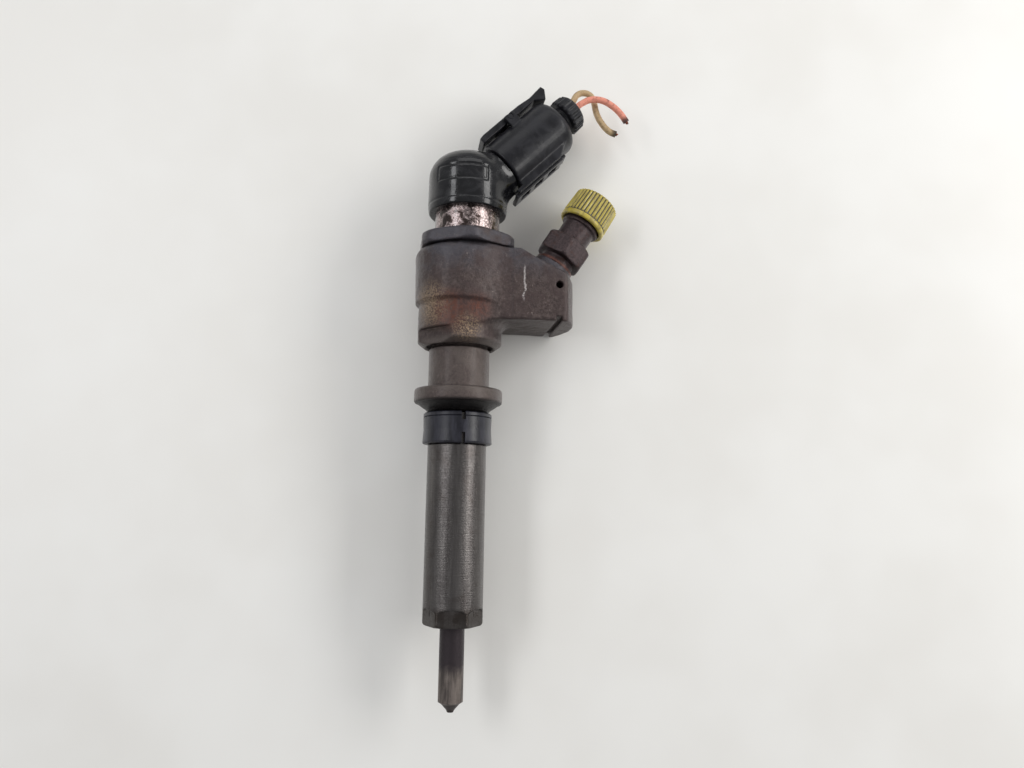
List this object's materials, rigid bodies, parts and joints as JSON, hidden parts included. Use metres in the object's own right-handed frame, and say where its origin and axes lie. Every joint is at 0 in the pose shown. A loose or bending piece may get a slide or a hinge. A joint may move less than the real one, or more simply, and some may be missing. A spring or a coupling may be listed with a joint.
{
  "type": "fuel injector",
  "caption": "Common-rail fuel injector: slim nozzle and nut, forged body with inlet arm, clamped piezo actuator, angled wiring plug and capped inlet.",
  "frame": {"origin": "on the nozzle axis at the bottom face of the nozzle retaining nut, where the injector seats in its well", "axes": "+Z along the nozzle axis from the seat up to the connector, +X along the inlet arm towards its end, +Y away from the side with the clip hole"},
  "size_m": [0.0656, 0.03, 0.1896],
  "materials": {
    "forged_steel": "rough",
    "nut_steel": "satin",
    "nozzle_steel": "satin",
    "actuator_steel": "satin",
    "hardened_steel": "polished",
    "spring_steel": "satin",
    "sleeve_plastic": "satin",
    "cap_plastic": "gloss",
    "plug_plastic": "satin",
    "pink_insulation": "matte",
    "beige_insulation": "matte",
    "washer_metal": "rough",
    "fitting_steel": "rough",
    "dust_cap_plastic": "satin",
    "piezo_ceramic": "matte",
    "seal_rubber": "matte",
    "contact_metal": "satin"
  },
  "bodies": {
    "injector": {"injector_body": "forged_steel", "nozzle_nut": "nut_steel", "nozzle_body": "nozzle_steel", "locating_sleeve": "sleeve_plastic", "actuator_nut": "forged_steel", "actuator_housing": "actuator_steel", "connector_cap": "cap_plastic", "inlet_washer": "washer_metal", "inlet_fitting": "fitting_steel", "edge_filter": "hardened_steel", "needle_spring": "spring_steel", "spring_shim": "hardened_steel", "adapter_plate": "hardened_steel", "dowel_pins": "hardened_steel", "orifice_plate": "hardened_steel", "valve_body": "hardened_steel", "valve_spring": "spring_steel", "lever_ring": "hardened_steel", "piezo_stack": "piezo_ceramic", "tube_spring": "spring_steel", "head_plate": "hardened_steel", "actuator_o_ring": "seal_rubber", "contact_pins": "contact_metal"},
    "needle": {"nozzle_needle": "hardened_steel", "control_piston": "hardened_steel", "spring_seat": "hardened_steel"},
    "actuator_foot": {"drive_plate": "hardened_steel"},
    "lever_1": {"lever_arm_side": "hardened_steel"},
    "lever_2": {"lever_far_side": "hardened_steel"},
    "servo": {"servo_valve": "hardened_steel", "valve_piston": "hardened_steel"},
    "inlet_cap": {"dust_cap": "dust_cap_plastic"},
    "plug": {"plug_housing": "plug_plastic", "wire_collar": "plug_plastic", "wire_pink": "pink_insulation", "wire_beige": "beige_insulation", "plug_terminals": "contact_metal", "plug_seal": "seal_rubber", "wire_seal": "seal_rubber"},
    "lock": {"plug_lock": "plug_plastic"},
    "latch": {"plug_latch": "plug_plastic"}
  },
  "joints": [
    {"name": "needle_lift", "type": "slide", "parent": "injector", "child": "needle", "axis": [0, 0, 1], "range_m": [0, 0.00025], "deforming": ["needle_spring"]},
    {"name": "actuator_stroke", "type": "slide", "parent": "injector", "child": "actuator_foot", "axis": [0, 0, -1], "range_m": [0, 0.00004], "deforming": ["piezo_stack", "tube_spring"]},
    {"name": "lever_1_tilt", "type": "hinge", "parent": "injector", "child": "lever_1", "pos_m": [0.0064, 0, 0.09745], "axis": [0, -1, 0], "range_deg": [0, 1.3]},
    {"name": "lever_2_tilt", "type": "hinge", "parent": "injector", "child": "lever_2", "pos_m": [-0.0036, 0, 0.09745], "axis": [0, 1, 0], "range_deg": [0, 1.3]},
    {"name": "valve_open", "type": "slide", "parent": "injector", "child": "servo", "axis": [0, 0, -1], "range_m": [0, 0.00011], "deforming": ["valve_spring"]},
    {"name": "inlet_cap_pull", "type": "slide", "parent": "injector", "child": "inlet_cap", "axis": [0.5373, 0, 0.8434], "range_m": [0, 0.012]},
    {"name": "plug_pull", "type": "slide", "parent": "injector", "child": "plug", "axis": [0.7071, 0, 0.7071], "range_m": [0, 0.016]},
    {"name": "lock_slide", "type": "slide", "parent": "plug", "child": "lock", "axis": [0.7071, 0, 0.7071], "range_m": [0, 0.003]},
    {"name": "latch_press", "type": "hinge", "parent": "plug", "child": "latch", "pos_m": [0.01335, 0, 0.15153], "axis": [0, 1, 0], "range_deg": [0, 2.5], "stiffness_Nm_per_rad": 0.05}
  ],
  "couplings": [
    {"joint": "lever_1_tilt", "follows": "actuator_stroke", "rad_per_m": 526.32},
    {"joint": "lever_2_tilt", "follows": "actuator_stroke", "rad_per_m": 526.32},
    {"joint": "valve_open", "follows": "actuator_stroke", "ratio": 2.6}
  ]
}
